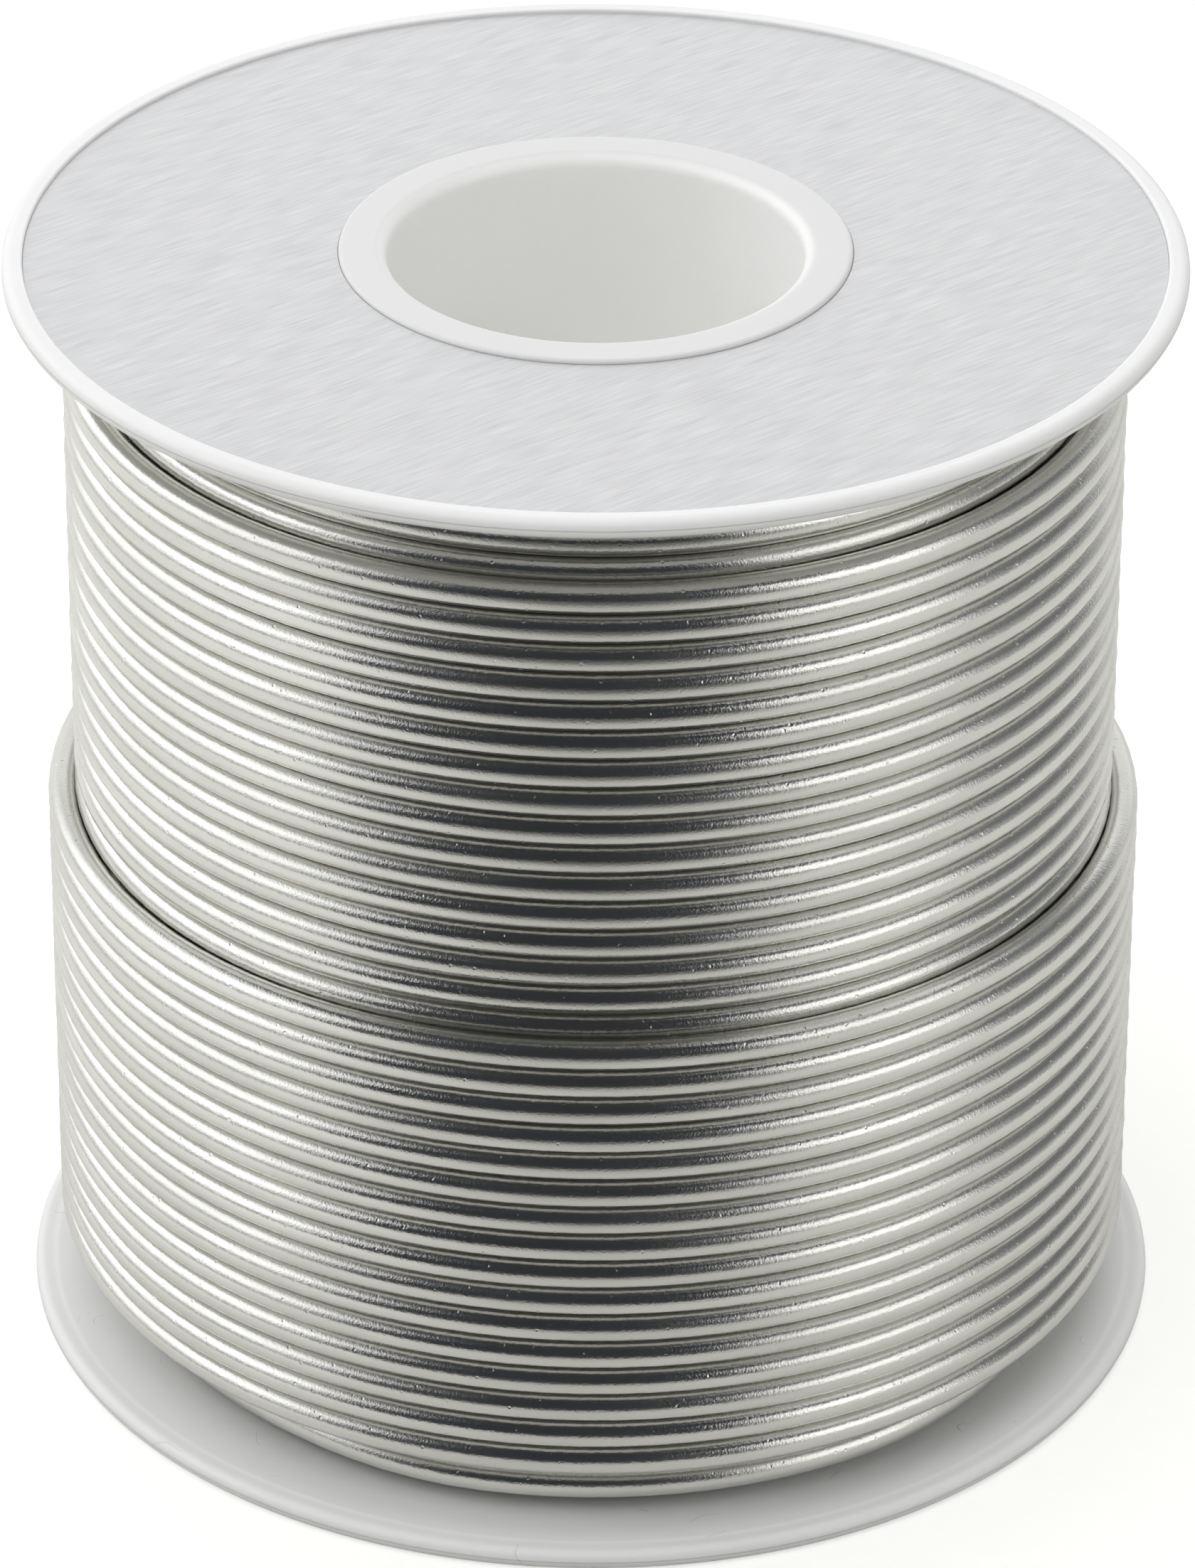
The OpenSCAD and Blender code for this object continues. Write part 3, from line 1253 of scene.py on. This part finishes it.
@dataclass
class Winding:
    """The wire on the drum: the turns in view and the layers under them."""

    finish: bpy.types.Material
    lay: WireLay = field(default_factory=WireLay)
    sides: int = 16
    hidden_sides: int = 10
    wobble: float = 0.03
    seed: int = 7
    core_r: float = 22.75
    core_inner_r: float = 20.05
    core_low: float = 1.06
    core_high: float = 55.64
    core_segments: int = 128
    waves_per_metre: float = 24.0
    sharp: float = 60.0

    def sweep(self, name: str, points: list[tuple[float, float, float]], sides: int) -> bpy.types.Mesh:
        """Sweeps the round wire along a path with Geometry Nodes.

        Args:
            name: Name of the tree.
            points: The path, in mm.
            sides: Faces round the wire.

        Returns:
            The wire as a plain mesh, with its length and its section as attributes.
        """
        build = NodeBuilder(name)
        build.size("Wire radius", "Float", self.lay.wire_d / 2.0 * MM)
        build.size("Sides", "Int", sides)
        build.size("Unevenness", "Float", self.wobble * MM)
        build.size("Seed", "Float", float(self.seed))
        build.size("Material", "Material", self.finish)
        curve = build.node("GeometryNodeMeshToCurve", {"Mesh": build.given("Geometry")})
        length = build.node("GeometryNodeSplineParameter").outputs["Length"]
        marked = build.node(
            "GeometryNodeStoreNamedAttribute",
            {"Geometry": curve.outputs[0], "Name": "along", "Value": length},
            data_type="FLOAT", domain="POINT",
        )
        where = build.maths("MULTIPLY", length, self.waves_per_metre)
        wave = build.node(
            "ShaderNodeTexNoise",
            {"W": build.maths("ADD", where, build.given("Seed")), "Scale": 1.0, "Detail": 1.0},
            noise_dimensions="1D",
        )
        centred = build.vector("SUBTRACT", {0: wave.outputs["Color"], 1: (0.5, 0.5, 0.5)})
        reach = build.maths("MULTIPLY", build.given("Unevenness"), 2.0)
        shift = build.vector("SCALE", {0: centred.outputs[0], "Scale": reach})
        moved = build.node(
            "GeometryNodeSetPosition", {"Geometry": marked.outputs[0], "Offset": shift.outputs[0]}
        )
        upright = build.node("GeometryNodeSetCurveNormal", {"Curve": moved.outputs[0]}, mode="Z_UP")
        circle = build.node(
            "GeometryNodeCurvePrimitiveCircle",
            {"Resolution": build.given("Sides"), "Radius": build.given("Wire radius")},
        )
        spot = build.node("GeometryNodeInputPosition")
        unit = build.vector("NORMALIZE", {0: spot.outputs[0]})
        profile = build.node(
            "GeometryNodeStoreNamedAttribute",
            {"Geometry": circle.outputs["Curve"], "Name": "section", "Value": unit.outputs[0]},
            data_type="FLOAT_VECTOR", domain="POINT",
        )
        swept = build.node(
            "GeometryNodeCurveToMesh",
            {"Curve": upright.outputs[0], "Profile Curve": profile.outputs[0], "Fill Caps": True},
        )
        build.close(swept.outputs[0])
        route = bpy.data.meshes.new("route")
        spots = [tuple(value * MM for value in point) for point in points]
        route.from_pydata(spots, [(index, index + 1) for index in range(len(spots) - 1)], [])
        mesh = build.bake(route)
        self.face_out(mesh)
        return mesh

    @staticmethod
    def face_out(mesh: bpy.types.Mesh) -> None:
        """Turns a swept tube's faces outwards if they all point in.

        Args:
            mesh: The closed tube.
        """
        work = bmesh.new()
        work.from_mesh(mesh)
        if work.calc_volume(signed=True) < 0.0:
            bmesh.ops.reverse_faces(work, faces=work.faces)
            work.to_mesh(mesh)
        work.free()

    def build_shown(self) -> bpy.types.Object:
        """Makes the turns in view.

        Returns:
            The piece, which stands for the winding's node.
        """
        mesh = self.sweep("turns_in_view", self.lay.shown(), self.sides)
        piece = MeshMaker.place("wire_turns", mesh, None, self.sharp)
        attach(piece, BODY)
        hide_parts("wire_winding")
        return piece

    def build_hidden(self) -> bpy.types.Object:
        """Makes the layers under the turns in view.

        Returns:
            The piece, which stands for the inner layers' node.
        """
        section = [
            (self.core_inner_r, self.core_low), (self.core_r, self.core_low),
            (self.core_r, self.core_high), (self.core_inner_r, self.core_high),
        ]
        core = MeshMaker.lathe(section, self.core_segments)
        turns = self.sweep("third_layer", self.lay.hidden(), self.hidden_sides)
        whole = MeshMaker.joined([core, turns])
        piece = MeshMaker.place("wire_under_layers", whole, self.finish, self.sharp)
        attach(piece, BODY)
        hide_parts("wire_inner_layers")
        return piece


# ---- The studio ----


@dataclass
class SoftBox:
    """A large soft lamp aimed at the spool, whose brightness is the share of white that it shows.

    Angles are in degrees, round from the front and up from the floor. Lengths are in metres.
    """

    name: str
    azimuth: float
    elevation: float
    distance: float
    width: float
    height: float
    brightness: float
    colour: tuple[float, float, float] = (1.0, 1.0, 1.0)
    mirrored: bool = True

    def build(self, target: Vector) -> bpy.types.Object:
        """Hangs the lamp.

        Args:
            target: The point that it faces, in metres.

        Returns:
            The lamp.
        """
        lamp = bpy.data.lights.new(self.name, "AREA")
        lamp.shape = "RECTANGLE"
        lamp.size = self.width
        lamp.size_y = self.height
        lamp.energy = self.brightness * math.pi * self.width * self.height
        lamp.color = self.colour
        made = MeshMaker.link(self.name, lamp)
        azimuth, elevation = math.radians(self.azimuth), math.radians(self.elevation)
        away = Vector(
            (
                math.sin(azimuth) * math.cos(elevation),
                -math.cos(azimuth) * math.cos(elevation),
                math.sin(elevation),
            )
        )
        made.location = target + away * self.distance
        made.rotation_euler = away.to_track_quat("Z", "Y").to_euler()
        made.visible_camera = False
        made.visible_glossy = self.mirrored
        return made


@dataclass
class Studio:
    """Floor, backdrop light, lamps and camera, with angles in degrees and lengths in metres."""

    paper: bpy.types.Material
    eye: tuple[float, float, float] = (0.0, -0.34408, 0.22358)
    tilt: float = 25.90
    pitch: float = -3.80
    yaw: float = 0.03
    roll: float = 0.27
    lens: float = 185.1
    floor_size: float = 6.0
    white: tuple[float, float, float] = (1.0, 1.0, 1.0)
    room: tuple[float, float, float] = (0.80, 0.88, 1.0)
    room_strength: float = 0.04
    backdrop_from: float = 0.55
    backdrop_to: float = 0.95
    cool: tuple[float, float, float] = (0.995, 0.997, 1.0)
    warm: tuple[float, float, float] = (1.0, 0.995, 0.985)
    aim: tuple[float, float, float] = (0.0, 0.0, 0.03)
    sensor: float = 36.0
    nearest: float = 0.01
    bounces: int = 12

    @staticmethod
    def turned(first: Vector, second: Vector, angle: float) -> tuple[Vector, Vector]:
        """Turns two square directions in their plane, the first towards the second.

        Args:
            first: A direction.
            second: A direction square to it.
            angle: The angle, in radians.

        Returns:
            The two turned directions.
        """
        near, aside = math.cos(angle), math.sin(angle)
        return first * near + second * aside, second * near - first * aside

    def build_camera(self) -> None:
        """Sets the camera at its measured place and angle."""
        tilt, pitch = math.radians(self.tilt), math.radians(self.pitch)
        yaw, roll = math.radians(self.yaw), math.radians(self.roll)
        ahead = Vector((0.0, math.cos(tilt), -math.sin(tilt)))
        right = Vector((1.0, 0.0, 0.0))
        up = Vector((0.0, math.sin(tilt), math.cos(tilt)))
        ahead, right = self.turned(ahead, right, yaw)
        ahead, up = self.turned(ahead, up, pitch)
        right, up = self.turned(right, up, roll)
        data = bpy.data.cameras.new("camera")
        data.lens = self.lens
        data.sensor_width = self.sensor
        data.clip_start = self.nearest
        camera = MeshMaker.link("camera", data)
        turn = Matrix((right, up, -ahead)).transposed().to_4x4()
        camera.matrix_world = Matrix.Translation(self.eye) @ turn
        bpy.context.scene.camera = camera

    def build_floor(self) -> bpy.types.Object:
        """Lays the paper floor.

        Returns:
            The floor.
        """
        half = self.floor_size / 2.0
        mesh = bpy.data.meshes.new("floor")
        corners = [(-half, -half, 0.0), (half, -half, 0.0), (half, half, 0.0), (-half, half, 0.0)]
        mesh.from_pydata(corners, [], [(0, 1, 2, 3)])
        mesh.materials.append(self.paper)
        floor = MeshMaker.link("floor", mesh)
        return floor

    def build_world(self) -> None:
        """Makes the white backdrop and the dim room that lies in front of it."""
        world = bpy.data.worlds.new("studio")
        bpy.context.scene.world = world
        world.use_nodes = True
        make = Shading(world.node_tree)
        place = make.node("ShaderNodeTexCoord").outputs["Generated"]
        split = make.node("ShaderNodeSeparateXYZ", {0: place})
        back, up = split.outputs["Y"], split.outputs["Z"]
        behind = make.remap(back, self.backdrop_from, self.backdrop_to, 0.0, 0.95, "SMOOTHSTEP")
        low = make.remap(up, 0.0, 0.50, 1.0, 0.0, "SMOOTHSTEP")
        side = make.remap(back, -0.45, 0.35, 0.0, 0.40, "SMOOTHSTEP")
        glow = make.maths("MULTIPLY", make.maths("MULTIPLY", low, low), side)
        lit = make.background(self.white, make.maths("ADD", glow, behind))
        room = make.sum(lit, make.background(self.room, self.room_strength))
        path = make.node("ShaderNodeLightPath")
        glossy, through = path.outputs["Is Glossy Ray"], path.outputs["Is Transmission Ray"]
        mirrored = make.maths("MAXIMUM", glossy, through)
        sheet_side = make.remap(back, self.backdrop_from, self.backdrop_to, 0.0, 1.0, "SMOOTHSTEP")
        shown = make.maths("MULTIPLY", mirrored, sheet_side)
        seen = make.maths("MAXIMUM", path.outputs["Is Camera Ray"], shown)
        pick = make.node("ShaderNodeMixShader", {0: seen, 1: room, 2: make.background(self.white)})
        make.node("ShaderNodeOutputWorld", {"Surface": pick.outputs[0]})

    def build_lamps(self) -> None:
        """Hangs the soft boxes."""
        cool, warm, white = self.cool, self.warm, self.white
        boxes = [
            SoftBox("left_soft_box", -96.0, 31.0, 0.8, 1.50, 0.80, 0.82, cool),
            SoftBox("left_core", -99.0, 31.0, 0.8, 1.02, 0.46, 0.75, cool),
            SoftBox("right_soft_box", 59.0, 19.0, 0.9, 0.82, 0.62, 0.95, warm),
            SoftBox("right_core", 57.0, 18.0, 0.9, 0.48, 0.42, 0.60, warm),
            SoftBox("right_high_box", 95.0, 62.0, 1.0, 0.85, 0.52, 0.70, warm),
            SoftBox("right_wash", 112.0, 34.0, 1.0, 0.90, 1.10, 0.15, warm),
            SoftBox("top_fill", 178.0, 74.0, 1.6, 1.6, 1.6, 1.35, white, False),
            SoftBox("front_fill", -24.0, 54.0, 1.5, 1.2, 0.9, 2.3, white, False),
        ]
        for box in boxes:
            box.build(Vector(self.aim))

    def build(self) -> None:
        """Sets up the whole studio."""
        self.build_camera()
        self.build_floor()
        self.build_world()
        self.build_lamps()
        scene = bpy.context.scene
        scene.view_settings.view_transform = "Standard"
        scene.cycles.max_bounces = self.bounces
        scene.cycles.diffuse_bounces = self.bounces


def report(piece: bpy.types.Object) -> None:
    """Logs a piece's name and its number of triangles.

    Args:
        piece: The piece.
    """
    faces = sum(len(face.vertices) - 2 for face in piece.data.polygons)
    LOG.info("%s: %d triangles", piece.name, faces)


def main() -> None:
    """Builds the studio, the spool, the label and the wire."""
    logging.basicConfig(level=logging.INFO, format="%(message)s", stream=sys.stdout)
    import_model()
    Studio(StudioPaper().material()).build()
    plastic = MouldedPlastic().material()
    winding = Winding(SolderMetal().material())
    makers: list[Callable[[], bpy.types.Object]] = [
        SpoolHalf(SpoolEnd.LOWER, plastic).build,
        SpoolHalf(SpoolEnd.UPPER, plastic).build,
        FaceLabel(BrushedFoil().material()).build,
        winding.build_hidden,
        winding.build_shown,
    ]
    for make in makers:
        report(make())


if __name__ == "__main__":
    main()
